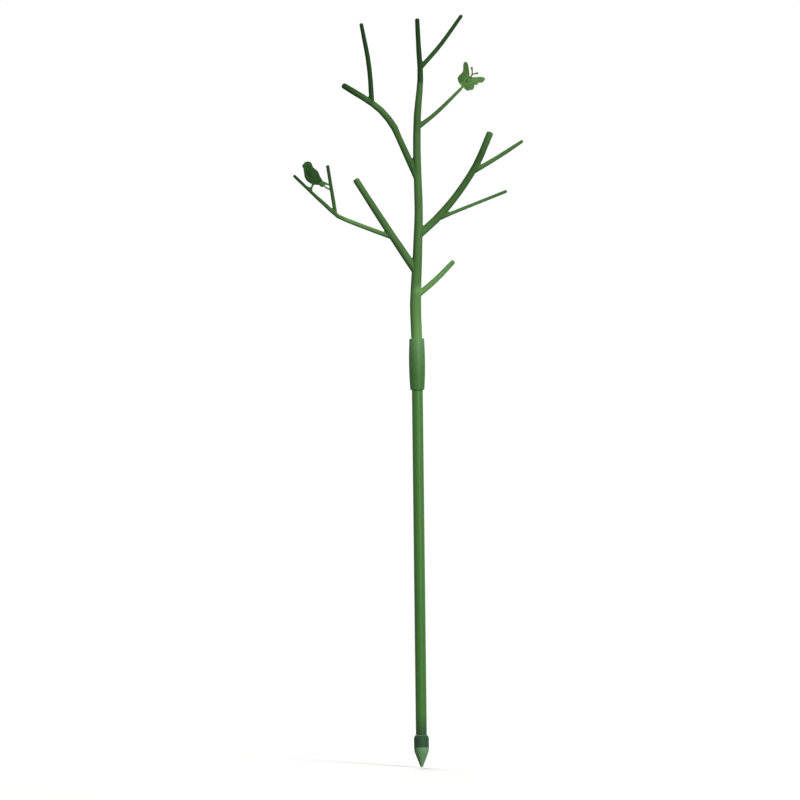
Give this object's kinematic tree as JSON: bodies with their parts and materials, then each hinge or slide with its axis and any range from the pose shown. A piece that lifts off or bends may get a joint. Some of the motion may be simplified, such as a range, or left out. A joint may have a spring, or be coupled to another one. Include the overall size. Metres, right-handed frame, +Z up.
{
  "type": "plant stake",
  "caption": "Plant support stake: a jacketed tube with a pointed ground tip, a barrel joint sleeve and a branching twig top with a perched bird and a butterfly.",
  "frame": {"origin": "point of the ground tip, on the stake's axis", "axes": "+Z up along the stake, +X in the twig's plane towards the butterfly's side, +Y through the twig's thickness"},
  "size_m": [0.2307, 0.0162, 0.7523],
  "materials": {
    "steel": "bare drawn steel, hidden in the jacket",
    "jacket_plastic": "satin extruded plastic, green",
    "tip_plastic": "satin moulded plastic, dark green",
    "sleeve_plastic": "satin moulded plastic, green",
    "twig_plastic": "satin moulded plastic, green"
  },
  "bodies": {
    "stake": {"steel_core_tube": "steel", "tube_jacket": "jacket_plastic", "ground_tip": "tip_plastic"},
    "sleeve": {"joint_sleeve": "sleeve_plastic"},
    "twig": {"twig_top": "twig_plastic"}
  },
  "joints": [
    {"name": "sleeve_lift", "type": "slide", "parent": "stake", "child": "sleeve", "axis": [0, 0, 1], "range_m": [0, 0.0245]},
    {"name": "twig_swivel", "type": "hinge", "parent": "sleeve", "child": "twig", "pos_m": [0, 0, 0.416], "axis": [0, 0, 1], "continuous": true}
  ]
}
